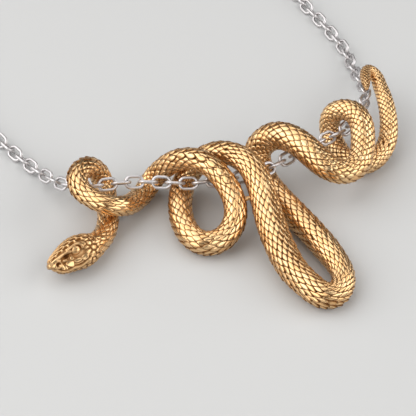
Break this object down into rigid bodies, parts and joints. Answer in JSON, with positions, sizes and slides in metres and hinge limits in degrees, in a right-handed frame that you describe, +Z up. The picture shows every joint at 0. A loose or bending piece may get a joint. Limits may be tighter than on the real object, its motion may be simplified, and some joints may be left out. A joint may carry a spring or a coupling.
{
  "type": "snake necklace",
  "caption": "Neck chain of oval silver links with a cast gold snake pendant whose body coils round the chain, closed by a plain barrel clasp.",
  "frame": {"origin": "middle of the whole necklace's box, on the surface that it lies on", "axes": "+X to the right along the pendant with the snake's head on the left, +Y from the pendant to the clasp, +Z up"},
  "size_m": [0.0952, 0.2088, 0.0096],
  "materials": {
    "gold": "satin polished gold plate, darker in the recesses",
    "silver": "polished silver"
  },
  "bodies": {
    "root": {"snake": "gold", "chain_left": "silver", "chain_right": "silver", "clasp": "silver"}
  },
  "joints": []
}
